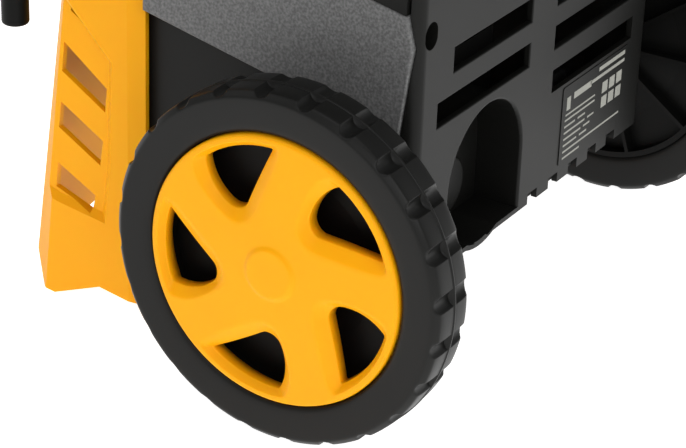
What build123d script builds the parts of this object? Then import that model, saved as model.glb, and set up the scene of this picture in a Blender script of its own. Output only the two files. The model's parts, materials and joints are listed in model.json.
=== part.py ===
from build123d import *
import os
from math import atan2, cos, degrees, radians, sin, tan

# Upright electric pressure washer, in millimetres.
# The origin is on the floor under the middle of the machine: +X is its left side seen from
# the front, +Y points to the back, +Z up. The front of the machine looks along -Y.

os.makedirs("parts", exist_ok=True)

# ---- driving dimensions ----
wheel_r = 85.0                    # tyre radius over the lugs
wheel_width = 27.8
wheel_face = 176.2                # outer face of each wheel from the centre plane
axle_y, axle_z = 50.0, wheel_r
axle_r = 5.0
side_x = 120.0                    # outer face of the side panels and the front cover
back_y = 87.4                     # outer face of the back wall
sill_z = 61.0                     # bottom edge of the housing
lean = 7.2                        # backward lean of the front cover, degrees
toe_y = -130.0                    # front of the cover's corners at toe height
toe_height = 18.0
wall = 3.0
hood_z = 232.0                    # joint line between the lower casing and the hood
top_z = 470.0                     # top of the hood
tube_x, tube_y = 82.0, 52.0       # handle tubes
tube_r = 9.5
grip_z = 566.0                    # centre of the handle's cross grip when pushed in
gun_x, gun_y = 150.0, -110.0      # axis of the stored gun and lance
lance_tip_z = 156.0
knob_z = 385.0
hook_z = 370.0
slide_gap = 0.3                   # gap between parts that slide on each other
running_gap = 0.05                # radial gap of shafts in their bores


def front_y(z):
    """Front of the cover's corners at a height."""
    return toe_y + (z - toe_height) * tan(radians(lean))


def side_edge_y(z):
    """Front edge of the cover's flat side; the bevel in front of it narrows with height."""
    return front_y(z) + 12.0 - 0.03 * (z - toe_height)


def save(part, label):
    part.label = label
    export_step(part, f"parts/{label}.step")


def save_pair(part, label, turned=False):
    """Write a part for the +X side and its partner for the -X side."""
    partner = part.rotate(Axis((0, axle_y, 0), (0, 0, 1)), 180) if turned else mirror(part, Plane.YZ)
    save(part, f"{label}_left")
    save(partner, f"{label}_right")


# ---- wheels: one moulding for both sides, so the right one is the left one turned round ----
wheel_inner = wheel_face - wheel_width
tyre_bore_r = 65.0
lug_count = 24
lug_phase = 5.8
notch_r, notch_centre_r = 4.4, 86.2
seam = 0.9                        # half width of the rib round the middle of the tread
shoulder = 2.4

wheel_axis = Axis((0, axle_y, axle_z), (1, 0, 0))
wheel_plane = Plane(origin=(0, axle_y, axle_z), x_dir=(0, 1, 0), z_dir=(1, 0, 0))
# profile plane of the wheel: local x is along the axle, local y is the radius
profile_plane = Plane(origin=(0, axle_y, axle_z), x_dir=(1, 0, 0), z_dir=(0, -1, 0))

with BuildPart() as tyre:
    with BuildSketch(profile_plane):
        with BuildLine():
            Polyline(
                (wheel_inner, tyre_bore_r), (wheel_face, tyre_bore_r),
                (wheel_face, wheel_r - 3.3), (wheel_face - shoulder, wheel_r),
                (wheel_inner + shoulder, wheel_r), (wheel_inner, wheel_r - 3.3), close=True,
            )
        make_face()
    revolve(axis=wheel_axis)
    for start, depth in ((wheel_inner, 1), (wheel_face, -1)):
        with BuildSketch(wheel_plane.offset(start)):
            with PolarLocations(notch_centre_r, lug_count, start_angle=lug_phase):
                Circle(notch_r)
        extrude(amount=depth * (wheel_width / 2 - seam), mode=Mode.SUBTRACT)
save_pair(tyre.part, "tyre", turned=True)

rim_inner, rim_outer = wheel_inner + 1.0, wheel_face - 13.5
web_x, web_t = wheel_inner + 8.0, 3.0
hub_r, bush_r = 14.0, 7.5
hub_outer = wheel_face - 14.0
with BuildPart() as rim:
    with BuildSketch(profile_plane):
        with Locations(((rim_inner + rim_outer) / 2, tyre_bore_r - 1.5)):
            Rectangle(rim_outer - rim_inner, 3.0)
        with BuildLine():
            Polyline(
                (web_x - 2, hub_r - 1), (web_x - 2 + web_t, hub_r - 1),
                (web_x + web_t, 42), (web_x + web_t, tyre_bore_r - 2),
                (web_x, tyre_bore_r - 2), (web_x, 42), close=True,
            )
        make_face()
        with Locations(((rim_inner + hub_outer) / 2, (bush_r + hub_r) / 2)):
            Rectangle(hub_outer - rim_inner, hub_r - bush_r)
    revolve(axis=wheel_axis)
    with BuildSketch(wheel_plane.offset(rim_inner)):
        with PolarLocations((hub_r - 1.5 + tyre_bore_r - 1.5) / 2, 10):
            Rectangle(tyre_bore_r - hub_r, 2.0)
    extrude(amount=web_x - rim_inner + 0.5)
save_pair(rim.part, "wheel_rim", turned=True)

with BuildPart() as bush:
    with BuildSketch(wheel_plane.offset(wheel_inner - 2.0)):
        Circle(bush_r + 3)
        Circle(axle_r + running_gap, mode=Mode.SUBTRACT)
    extrude(amount=3.0)
    with BuildSketch(wheel_plane.offset(wheel_inner + 1.0)):
        Circle(bush_r)
        Circle(axle_r + running_gap, mode=Mode.SUBTRACT)
    extrude(amount=hub_outer - wheel_inner - 1.0)
save_pair(bush.part, "wheel_bush", turned=True)

# The wheel cover is slightly domed, with a raised hub and five swept openings. Each opening is
# drawn about its own middle direction; the outline is uneven, which gives the wheel its swirl.
cover_r, cover_t, skirt_t = 64.5, 8.0, 3.0
dome, hub_disc_r, hub_disc_h = 1.2, 12.0, 2.6
opening_r, opening_mid_angle = 59.0, 40.4
opening_leading, opening_trailing = (54.8, -20.5), (56.3, 17.7)
opening_tip = [(32.6, 12.2), (31.0, 3.2)]

with BuildSketch(Plane.XY, mode=Mode.PRIVATE) as opening:
    with BuildLine():
        ThreePointArc(opening_leading, (opening_r, 0), opening_trailing)
        ThreePointArc(opening_trailing, (45.5, 18.4), opening_tip[0])
        Line(opening_tip[0], opening_tip[1])
        ThreePointArc(opening_tip[1], (42.2, -7.6), opening_leading)
    make_face()
    fillet(opening.vertices(), 3.0)

with BuildPart() as wheel_cover:
    with BuildSketch(profile_plane):
        with BuildLine():
            Polyline(
                (wheel_face - cover_t, 0), (wheel_face - cover_t, cover_r - skirt_t),
                (rim_outer, cover_r - skirt_t), (rim_outer, cover_r), (wheel_face - 1.5, cover_r),
                (wheel_face - 0.4, cover_r - 0.5), (wheel_face, cover_r - 1.6),
                (wheel_face + dome, hub_disc_r + 1.2), (wheel_face + hub_disc_h - 0.4, hub_disc_r + 0.3),
                (wheel_face + hub_disc_h, hub_disc_r - 0.4), (wheel_face + hub_disc_h, 0), close=True,
            )
        make_face()
    revolve(axis=wheel_axis)
    with BuildSketch(wheel_plane.offset(wheel_face - cover_t - 1)):
        with PolarLocations(0, 5, start_angle=opening_mid_angle):
            add(opening.sketch)
    extrude(amount=cover_t + 4, mode=Mode.SUBTRACT)
save_pair(wheel_cover.part, "wheel_cover", turned=True)

# ---- axle ----
boss_end_x = wheel_inner - 2.4    # outer end of the bosses that carry the axle
axle_half = hub_outer + 3.3
clip_t = 1.0
with BuildPart() as axle:
    with BuildSketch(wheel_plane.offset(-axle_half)):
        Circle(axle_r)
    extrude(amount=2 * axle_half)
    chamfer(axle.edges().filter_by(GeomType.CIRCLE), 1.0)
save(axle.part, "axle")

with BuildPart() as axle_clips:
    for sign in (1, -1):
        with BuildSketch(wheel_plane.offset(sign * (hub_outer + 0.3))):
            Circle(9.0)
            Circle(axle_r, mode=Mode.SUBTRACT)
        extrude(amount=sign * clip_t)
save(axle_clips.part, "axle_clips")

# ---- back casing: a channel that is open to the front, the top and the floor ----
casing_front = -60.0
cheek_front = -75.0               # the side walls run on inside the front cover
lower_side_x = 112.0              # side walls below the grey panels, set back from them
panel_t = 3.6
panel_slope = 12.0                # the panel's long edges fall to the back
panel_edge_y, panel_edge_z = casing_front + 1.0, 165.0
panel_height = 60.0


def panel_line(y, rise=0.0):
    """Height of the side panel's falling edge at a depth."""
    return panel_edge_z + rise - (y - panel_edge_y) * tan(radians(panel_slope))


panel_outline = [
    (panel_edge_y, panel_line(panel_edge_y)), (79, panel_line(79)),
    (84.4, 180), (81.5, panel_line(81.5, panel_height)),
    (panel_edge_y, panel_line(panel_edge_y, panel_height)),
]
slot_height, slot_pitch, slot_first_z = 12.0, 22.8, 142.5
slot_inner_x = 13.0
arch_x, arch_r, arch_z, arch_depth = 50.7, 35.2, 95.7, 24.0
boss_r, boss_z, boss_height = 15.0, 83.4, 5.0
notch_xs = [0, -21.8, -43.1, -64.4, -85.4]
screw_hole_x, screw_hole_z = 109.5, 184.0
pocket_depth = 22.0
niche_floor_z = sill_z + 2.5

with BuildPart() as back_casing:
    depth = back_y - casing_front
    with BuildSketch(Plane.XY.offset(sill_z)):
        with Locations((0, (back_y + casing_front) / 2)):
            Rectangle(2 * side_x, depth)
    extrude(amount=hood_z - sill_z)
    fillet(back_casing.edges().filter_by(Axis.Z).group_by(Axis.Y)[-1], 7.0)
    # the sides step in below the panels
    for sign in (1, -1):
        with BuildSketch(Plane.YZ.offset(sign * side_x)):
            with BuildLine():
                Polyline(
                    (casing_front - 1, sill_z - 1), (79, sill_z - 1), (79, panel_line(79) - 0.4),
                    (casing_front - 1, panel_line(casing_front - 1) - 0.4), close=True,
                )
            make_face()
        extrude(amount=-sign * (side_x - lower_side_x), mode=Mode.SUBTRACT)
        # seat of the side panel, with a shadow gap behind its back edge
        with BuildSketch(Plane.YZ.offset(sign * side_x)):
            with BuildLine():
                Polyline(
                    (casing_front - 1, panel_line(casing_front - 1) - 0.5),
                    (79.8, panel_line(79) - 0.5), (85.2, 180),
                    (82.3, panel_line(82.3, panel_height)), (82.3, hood_z + 1),
                    (casing_front - 1, hood_z + 1), close=True,
                )
            make_face()
        extrude(amount=-sign * panel_t, mode=Mode.SUBTRACT)
    inside_x = lower_side_x - wall
    with BuildSketch(Plane.XY.offset(sill_z - 1)):
        with Locations((0, (back_y - wall + casing_front - 2) / 2)):
            Rectangle(2 * inside_x, depth - wall + 2)
        fillet(vertices().group_by(Axis.Y)[-1], 4.0)
    extrude(amount=hood_z - sill_z + 2, mode=Mode.SUBTRACT)
    for sign in (1, -1):
        with BuildSketch(Plane.XY.offset(sill_z)):
            with Locations((sign * (lower_side_x - wall / 2), (cheek_front + casing_front) / 2 + 1)):
                Rectangle(wall, casing_front - cheek_front + 2)
        extrude(amount=hood_z - sill_z)
    # the arched niche in the back wall, with the round boss inside it
    with BuildSketch(Plane.XZ.offset(-(back_y - arch_depth - wall))):
        with Locations((arch_x, arch_z)):
            Circle(arch_r + wall)
        with Locations((arch_x, (arch_z + sill_z) / 2)):
            Rectangle(2 * (arch_r + wall), arch_z - sill_z)
    extrude(amount=-(arch_depth + wall - 1.0))
    with BuildSketch(Plane.XZ.offset(-(back_y + 1))):
        with Locations((arch_x, arch_z)):
            Circle(arch_r)
        with Locations((arch_x, (arch_z + niche_floor_z) / 2)):
            Rectangle(2 * arch_r, arch_z - niche_floor_z)
    extrude(amount=arch_depth + 1, mode=Mode.SUBTRACT)
    fillet(
        back_casing.edges().filter_by(
            lambda e: abs(e.center().Y - back_y) < 0.01 and abs(e.center().X - arch_x) < arch_r + 0.1
            and niche_floor_z + 1 < e.center().Z < arch_z + arch_r), 1.5)
    with BuildSketch(Plane.XZ.offset(-(back_y - arch_depth - 0.5))):
        with Locations((arch_x, boss_z)):
            Circle(boss_r)
    extrude(amount=-(boss_height + 0.5))
    fillet(
        back_casing.edges().filter_by(GeomType.CIRCLE)
        .filter_by(lambda e: abs(e.radius - boss_r) < 0.01).sort_by(Axis.Y)[-1], 2.0)
    # cooling slots: three rows on the plate's side, two above the arch
    with BuildSketch(Plane.XZ.offset(-(back_y + 1))):
        for side, rows in ((-1, (-1, 0, 1)), (1, (0, 1))):
            for row in rows:
                outer_x = 100.5 - max(row, 0) * 13.0
                with Locations((side * (slot_inner_x + outer_x) / 2, slot_first_z + row * slot_pitch)):
                    Rectangle(outer_x - slot_inner_x, slot_height)
    extrude(amount=wall + 2, mode=Mode.SUBTRACT)
    slot_low, slot_high = slot_first_z - slot_pitch - slot_height, slot_first_z + slot_pitch + slot_height
    fillet(
        back_casing.edges().filter_by(
            lambda e: abs(e.center().Y - back_y) < 0.01 and slot_inner_x - 1 < abs(e.center().X) < 101
            and slot_low < e.center().Z < slot_high and e.center().Z > arch_z + arch_r), 0.8)
    # bosses that carry the axle out to the wheels
    for sign in (1, -1):
        with BuildSketch(wheel_plane.offset(sign * (inside_x + 1))):
            Circle(17.0)
        extrude(amount=sign * (boss_end_x - inside_x - 1), taper=6.0)
    with BuildSketch(wheel_plane.offset(-boss_end_x - 1)):
        Circle(axle_r)
    extrude(amount=2 * boss_end_x + 2, mode=Mode.SUBTRACT)
    # drain notches along the bottom edge
    with BuildSketch(Plane.XZ.offset(-(back_y + 1))):
        for x in notch_xs:
            with Locations((x, sill_z)):
                Rectangle(9.5, 11)
    extrude(amount=wall + 2, mode=Mode.SUBTRACT)
    # screws at the bottom of two deep oval pockets
    for sign in (1, -1):
        with BuildSketch(Plane.XZ.offset(-(back_y - pocket_depth - 8))):
            with Locations((sign * (screw_hole_x - 1.5), screw_hole_z)):
                Rectangle(15, 19)
        extrude(amount=-(pocket_depth + 6))
    with BuildSketch(Plane.XZ.offset(-(back_y + 1))):
        for sign in (1, -1):
            with Locations((sign * screw_hole_x, screw_hole_z)):
                SlotCenterToCenter(2.5, 10.5, rotation=90)
    extrude(amount=pocket_depth + 1, mode=Mode.SUBTRACT)
    with BuildSketch(Plane.XZ.offset(-(back_y + 1))):
        with Locations((screw_hole_x, screw_hole_z), (-screw_hole_x, screw_hole_z)):
            Circle(2.0)
    extrude(amount=pocket_depth + 10, mode=Mode.SUBTRACT)
save(back_casing.part, "back_casing")

with BuildPart() as casing_screws:
    spots = [(screw_hole_x, screw_hole_z), (-screw_hole_x, screw_hole_z)]
    with BuildSketch(Plane.XZ.offset(-(back_y - pocket_depth))):
        with Locations(spots):
            Circle(4.2)
    extrude(amount=-2.6)
    with BuildSketch(Plane.XZ.offset(-(back_y - pocket_depth))):
        with Locations(spots):
            Circle(2.0)
    extrude(amount=7)
save(casing_screws.part, "casing_screws")

# ---- grey side panels ----
with BuildPart() as side_panel:
    with BuildSketch(Plane.YZ.offset(side_x - panel_t)):
        with BuildLine():
            Polyline(panel_outline, close=True)
        make_face()
        fillet(vertices().group_by(Axis.Y)[-1], 3.0)
    extrude(amount=panel_t + 1.2)
    fillet(side_panel.faces().sort_by(Axis.X)[-1].edges(), 1.1)
save_pair(side_panel.part, "side_panel")

# ---- rating plate on the back wall, blank ----
with BuildPart() as rating_plate:
    with BuildSketch(Plane.XZ.offset(-back_y)):
        with Locations((-62, 90.6)):
            RectangleRounded(72, 42, 1.5)
    extrude(amount=-0.4)
save(rating_plate.part, "rating_plate")

# ---- floor plate: carries the pump and the axle ----
floor_z, floor_t = 64.0, 4.0
floor_back = 58.0
tongue_z, tongue_t = sill_z + 0.2, 3.3
pump_y, pump_head_z, pump_head_h = -4.0, 88.0, 40.0
pillar_x, pillar_y = 41.0, 28.0
with BuildPart() as floor_plate:
    with BuildSketch(Plane.XY.offset(floor_z)):
        with Locations((0, (casing_front + floor_back) / 2)):
            RectangleRounded(2 * inside_x - 1, floor_back - casing_front, 6)
    extrude(amount=floor_t)
    # tongue that closes the bottom behind the drain notches
    with BuildSketch(Plane.XY.offset(tongue_z)):
        with Locations((-49, (floor_back - 8 + back_y - wall - 0.6) / 2)):
            Rectangle(112, back_y - wall - 0.6 - floor_back + 8)
    extrude(amount=tongue_t)
    with BuildSketch(Plane.XY.offset(floor_z)):
        with Locations((inside_x - 6.6, axle_y), (-inside_x + 6.6, axle_y)):
            Rectangle(12, 28)
    extrude(amount=axle_z + 14 - floor_z)
    with BuildSketch(wheel_plane.offset(-inside_x)):
        Circle(axle_r)
    extrude(amount=2 * inside_x, mode=Mode.SUBTRACT)
    with BuildSketch(Plane.XY.offset(floor_z + floor_t)):
        with Locations((0, pump_y - 12)):
            with GridLocations(2 * pillar_x, 2 * pillar_y, 2, 2):
                Circle(7)
    extrude(amount=pump_head_z - floor_z - floor_t)
    with BuildSketch(Plane.XY.offset(floor_z - 1)):
        with Locations((0, casing_front + 18)):
            with GridLocations(24, 0, 6, 1):
                SlotCenterToCenter(12, 6, rotation=90)
    extrude(amount=floor_t + 2, mode=Mode.SUBTRACT)
save(floor_plate.part, "floor_plate")

# ---- pump and motor, stacked on one upright shaft ----
port_z = pump_head_z + pump_head_h / 2
inlet_x, outlet_x = 32.0, -32.0
pump_front, pump_back = -70.0, 38.0
piston_pcd, piston_r, piston_low, piston_high = 52.0, 7.0, 104.0, 160.0
pump_top, motor_top = 190.0, 322.0
motor_r, rotor_r, shaft_r = 54.0, 26.0, 6.0
shaft_low, shaft_high = 166.0, 366.0
bearing_r, bearing_t = 15.0, 9.0
lower_bearing_z, upper_bearing_z = pump_top - 1.0 - bearing_t, motor_top + 4.0
shaft_plane = Plane(origin=(0, pump_y, 0), x_dir=(1, 0, 0), z_dir=(0, 0, 1))

bolt_pcd, bolt_r = 88.0, 2.5
with BuildPart() as pump_head:
    with BuildSketch(Plane.XY.offset(pump_head_z)):
        with Locations((0, (pump_front + pump_back) / 2)):
            RectangleRounded(98, pump_back - pump_front, 8)
    extrude(amount=pump_head_h)
    with BuildSketch(shaft_plane.offset(piston_low - 4)):
        with PolarLocations(piston_pcd / 2, 3, start_angle=90):
            Circle(piston_r + running_gap)
    extrude(amount=pump_head_h, mode=Mode.SUBTRACT)
    with BuildSketch(Plane.XZ.offset(-pump_front)):
        with Locations((inlet_x, port_z), (outlet_x, port_z)):
            Circle(8)
    extrude(amount=-12, mode=Mode.SUBTRACT)
    chamfer(pump_head.faces().sort_by(Axis.Z)[0].edges(), 2)
    with BuildSketch(shaft_plane.offset(pump_head_z)):
        with PolarLocations(bolt_pcd / 2, 4, start_angle=45):
            Circle(bolt_r)
    extrude(amount=pump_head_h, mode=Mode.SUBTRACT)
save(pump_head.part, "pump_head")

with BuildPart() as pump_body:
    with BuildSketch(shaft_plane.offset(pump_head_z + pump_head_h)):
        Circle(44)
        with PolarLocations(bolt_pcd / 2, 4, start_angle=45):
            Circle(8)
    extrude(amount=pump_top - pump_head_z - pump_head_h)
    with BuildSketch(shaft_plane.offset(pump_head_z + pump_head_h)):
        with PolarLocations(bolt_pcd / 2, 4, start_angle=45):
            Circle(bolt_r)
    extrude(amount=30, mode=Mode.SUBTRACT)
    with BuildSketch(shaft_plane.offset(pump_head_z + pump_head_h + 10)):
        Circle(37)
    extrude(amount=pump_top - pump_head_z - pump_head_h - 10 - bearing_t - 6, mode=Mode.SUBTRACT)
    with BuildSketch(shaft_plane.offset(pump_head_z + pump_head_h - 1)):
        with PolarLocations(piston_pcd / 2, 3, start_angle=90):
            Circle(piston_r + running_gap)
    extrude(amount=12, mode=Mode.SUBTRACT)
    with BuildSketch(shaft_plane.offset(lower_bearing_z)):
        Circle(bearing_r)
    extrude(amount=bearing_t + 2, mode=Mode.SUBTRACT)
    with BuildSketch(shaft_plane.offset(pump_head_z + pump_head_h + 9)):
        Circle(shaft_r + 4)
    extrude(amount=pump_top, mode=Mode.SUBTRACT)
save(pump_body.part, "pump_body")

with BuildPart() as pump_bolts:
    with BuildSketch(shaft_plane.offset(pump_head_z)):
        with PolarLocations(bolt_pcd / 2, 4, start_angle=45):
            RegularPolygon(4.6, 6)
    extrude(amount=-4)
    with BuildSketch(shaft_plane.offset(pump_head_z)):
        with PolarLocations(bolt_pcd / 2, 4, start_angle=45):
            Circle(bolt_r)
    extrude(amount=pump_head_h + 28)
save(pump_bolts.part, "pump_bolts")

with BuildPart() as pistons:
    with BuildSketch(shaft_plane.offset(piston_low)):
        with PolarLocations(piston_pcd / 2, 3, start_angle=90):
            Circle(piston_r)
    extrude(amount=piston_high - piston_low - 2)
    with BuildSketch(shaft_plane.offset(piston_high - 6)):
        with PolarLocations(piston_pcd / 2, 3, start_angle=90):
            Circle(piston_r + 2.5)
    extrude(amount=4)
save(pistons.part, "pistons")

with BuildPart() as wobble_plate:
    with BuildSketch(shaft_plane.offset(piston_high + 0.5)):
        Circle(34)
    extrude(amount=12)
    wedge = Plane(origin=(0, pump_y, piston_high + 9.5), z_dir=(0, sin(radians(8)), cos(radians(8))))
    split(bisect_by=wedge, keep=Keep.BOTTOM)
    with BuildSketch(shaft_plane.offset(shaft_low)):
        Circle(shaft_r)
    extrude(amount=20, mode=Mode.SUBTRACT)
save(wobble_plate.part, "wobble_plate")

with BuildPart() as bearings:
    for z in (lower_bearing_z, upper_bearing_z):
        with BuildSketch(shaft_plane.offset(z)):
            Circle(bearing_r)
            Circle(shaft_r + running_gap, mode=Mode.SUBTRACT)
        extrude(amount=bearing_t)
save(bearings.part, "bearings")

with BuildPart() as motor_stator:
    with BuildSketch(shaft_plane.offset(pump_top)):
        Circle(motor_r)
        Circle(rotor_r + 1.0, mode=Mode.SUBTRACT)
        with PolarLocations(motor_r + 1, 8):
            Rectangle(6, 4, mode=Mode.SUBTRACT)
    extrude(amount=motor_top - pump_top)
save(motor_stator.part, "motor_stator")

with BuildPart() as motor_cap:
    with BuildSketch(shaft_plane.offset(motor_top)):
        Circle(motor_r)
        Circle(bearing_r, mode=Mode.SUBTRACT)
    extrude(amount=bearing_t + 6)
    with BuildSketch(shaft_plane.offset(motor_top)):
        Circle(bearing_r - 3)
        Circle(rotor_r + 1.0)
    extrude(amount=4, mode=Mode.SUBTRACT)
    with BuildSketch(shaft_plane.offset(motor_top - 1)):
        with PolarLocations(41, 8):
            SlotCenterToCenter(10, 8, rotation=90)
    extrude(amount=bearing_t + 10, mode=Mode.SUBTRACT)
save(motor_cap.part, "motor_cap")

with BuildPart() as rotor:
    with BuildSketch(shaft_plane.offset(shaft_low)):
        Circle(shaft_r)
    extrude(amount=shaft_high - shaft_low)
    with BuildSketch(shaft_plane.offset(pump_top + 8)):
        Circle(rotor_r)
    extrude(amount=motor_top - pump_top - 16)
save(rotor.part, "rotor")

fan_z, fan_r = motor_top + 20.0, 50.0
with BuildPart() as fan:
    with BuildSketch(shaft_plane.offset(fan_z)):
        Circle(fan_r)
    extrude(amount=2)
    with BuildSketch(shaft_plane.offset(fan_z)):
        with PolarLocations(fan_r / 2 + 9, 9):
            Rectangle(fan_r - 20, 2, rotation=25)
        Circle(12)
    extrude(amount=16)
    with BuildSketch(shaft_plane.offset(fan_z - 1)):
        Circle(shaft_r)
    extrude(amount=20, mode=Mode.SUBTRACT)
save(fan.part, "fan")

# hose connections at the front of the pump: water in on +X, high pressure out on -X
inlet_r, outlet_r, thread_length = 13.2, 11.0, 15.0
connector_front = -135.0
for label, x, r, bore in (
    ("inlet_connector", inlet_x, inlet_r, 8.0), ("outlet_connector", outlet_x, outlet_r, 4.0),
):
    front = connector_front if x > 0 else connector_front + 4
    with BuildPart() as connector:
        with BuildSketch(Plane.XZ.offset(-pump_front)):
            with Locations((x, port_z)):
                Circle(r + 3)
        extrude(amount=pump_front - front - thread_length)
        with BuildSketch(Plane.XZ.offset(-front)):
            with Locations((x, port_z)):
                Circle(r)
        extrude(amount=-thread_length)
        with BuildSketch(Plane.XZ.offset(-pump_front)):
            with Locations((x, port_z)):
                Circle(8)
        extrude(amount=-11)
        with BuildSketch(Plane.XZ.offset(-front + 1)):
            with Locations((x, port_z)):
                Circle(bore - 2)
        extrude(amount=-40, mode=Mode.SUBTRACT)
    save(connector.part, label)

with BuildPart() as unloader_valve:
    with BuildSketch(Plane.YZ.offset(49)):
        with Locations((pump_front + 25, port_z)):
            Circle(10)
    extrude(amount=22)
    with BuildSketch(Plane.YZ.offset(71)):
        with Locations((pump_front + 25, port_z)):
            RegularPolygon(8, 6)
    extrude(amount=8)
save(unloader_valve.part, "unloader_valve")

with BuildPart() as stop_switch:
    with BuildSketch(Plane.YZ.offset(-49)):
        with Locations((pump_front + 25, port_z)):
            RectangleRounded(24, 30, 3)
    extrude(amount=-20)
save(stop_switch.part, "stop_switch")

capacitor_x, capacitor_r = 80.0, 17.0
with BuildPart() as capacitor:
    with BuildSketch(Plane.XY.offset(pump_top + 25)):
        with Locations((capacitor_x, pump_y)):
            Circle(capacitor_r)
    extrude(amount=80)
    fillet(capacitor.edges().filter_by(GeomType.CIRCLE), 2)
save(capacitor.part, "capacitor")
with BuildPart() as capacitor_clip:
    with BuildSketch(Plane.XY.offset(pump_top + 55)):
        with Locations(((motor_r + capacitor_x - capacitor_r) / 2, pump_y)):
            Rectangle(capacitor_x - capacitor_r - motor_r + 1, 8)
        with Locations((capacitor_x, pump_y)):
            Circle(capacitor_r + 1.6)
            Circle(capacitor_r, mode=Mode.SUBTRACT)
        with Locations((0, pump_y)):
            Circle(motor_r, mode=Mode.SUBTRACT)
    extrude(amount=12)
save(capacitor_clip.part, "capacitor_clip")

# ---- front cover: leaning shell on two legs, louvred at the sides ----
cover_top = 332.0
bevel_x = 8.0                     # width of the bevel down each front corner
strip_y, strip_x = 8.5, 3.0       # the back edge of each side turns in over this strip
arch_half_x, arch_top_z, arch_corner = 54.0, 130.0, 15.0
foot_x, foot_y, foot_height = 92.0, -114.0, 18.0
toe_outline = [(toe_y - 8, 31.3), (-121.0, 1.5), (-114.0, 0.6), (-86.3, 12.0), (casing_front, 8.0),
               (casing_front, -20), (toe_y - 8, -20)]
# louvred recess in each side: its upper edge falls to the back, with a wide bevel
recess_outline = [
    (-118, 175), (-77.4, 133.8), (-79.2, 76.5), (-82.5, 48), (-112, 52), (-124, 56),
]
recess_depth, recess_bevel, slat_t = 3.0, 3.6, 3.2
# gaps between the slats: front top, back top, back bottom, front bottom
louvre_gaps = [
    [(-107.6, 136.2), (-82.6, 118.0), (-83.8, 105.5), (-109.2, 120.8)],
    [(-110.2, 104.6), (-85.2, 90.1), (-87.0, 76.6), (-111.6, 90.6)],
    [(-112.6, 71.6), (-90.0, 59.8), (-92.0, 50.4), (-114.0, 58.2)],
]


def cover_section(z, inset=0.0):
    """Plan outline of the front cover at a height; the inner one is set in by the wall."""
    x, side_y, y = side_x - inset, side_edge_y(z) + inset * 0.6, front_y(z) + inset
    corner_x = side_x - bevel_x - inset * 0.4
    bulge = 10.0 - 0.02 * z
    back = casing_front + (1 if inset else 0)
    with BuildSketch(Plane.XY.offset(z), mode=Mode.PRIVATE) as section:
        with BuildLine():
            Polyline(
                (-corner_x, y), (-x, side_y), (-x, casing_front - strip_y), (-x + strip_x, back),
                (x - strip_x, back), (x, casing_front - strip_y), (x, side_y), (corner_x, y),
            )
            ThreePointArc((corner_x, y), (0, y - bulge), (-corner_x, y))
        make_face()
    return section.sketch


with BuildPart() as front_cover:
    loft([cover_section(0), cover_section(cover_top)])
    loft([cover_section(-0.01, wall), cover_section(cover_top + 0.01, wall)], mode=Mode.SUBTRACT)
    with BuildSketch(Plane.YZ.offset(-side_x)):
        with BuildLine():
            Polyline(toe_outline, close=True)
        make_face()
    extrude(amount=2 * side_x, mode=Mode.SUBTRACT)
    with BuildSketch(Plane.XZ.offset(150)):
        with BuildLine():
            Polyline(
                (-arch_half_x - 5, -20), (-arch_half_x, arch_top_z - arch_corner),
                (-arch_half_x + arch_corner, arch_top_z), (arch_half_x - arch_corner, arch_top_z),
                (arch_half_x, arch_top_z - arch_corner), (arch_half_x + 5, -20), close=True,
            )
        make_face()
    extrude(amount=-(150 + casing_front - 2), mode=Mode.SUBTRACT)
    for sign in (1, -1):
        side = Plane.YZ.offset(sign * side_x)
        # plate behind the recess, joined to the wall all round
        with BuildSketch(side.offset(-sign * (wall - 0.2))):
            with BuildLine():
                Polyline(
                    (side_edge_y(156) - 3.0, 156), (-76.4, 136), (-78.2, 76), (-81, 44),
                    (side_edge_y(44) - 3.5, 44), close=True,
                )
            make_face()
        extrude(amount=-sign * (slat_t + 0.2))
        with BuildSketch(side):
            with BuildLine():
                Polyline(recess_outline, close=True)
            make_face()
        bevel_angle = degrees(atan2(recess_bevel, recess_depth))
        extrude(amount=-sign * recess_depth, taper=bevel_angle, mode=Mode.SUBTRACT)
        for corners in louvre_gaps:
            with BuildSketch(side):
                with BuildLine():
                    Polyline(corners, close=True)
                make_face()
            extrude(amount=-sign * (recess_depth + slat_t + 1), mode=Mode.SUBTRACT)
        # ledge that holds the rubber foot inside the toe
        with BuildSketch(Plane.XY.offset(foot_height)):
            with Locations((sign * (side_x - 21.5), foot_y + 6)):
                Rectangle(37, 26)
        extrude(amount=wall)
save(front_cover.part, "front_cover")

with BuildPart() as feet:
    with BuildSketch():
        with Locations((foot_x, foot_y), (-foot_x, foot_y)):
            RectangleRounded(18, 13, 3)
    extrude(amount=foot_height)
    fillet(feet.faces().sort_by(Axis.Z)[0].edges(), 1.5)
save(feet.part, "feet")

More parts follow.
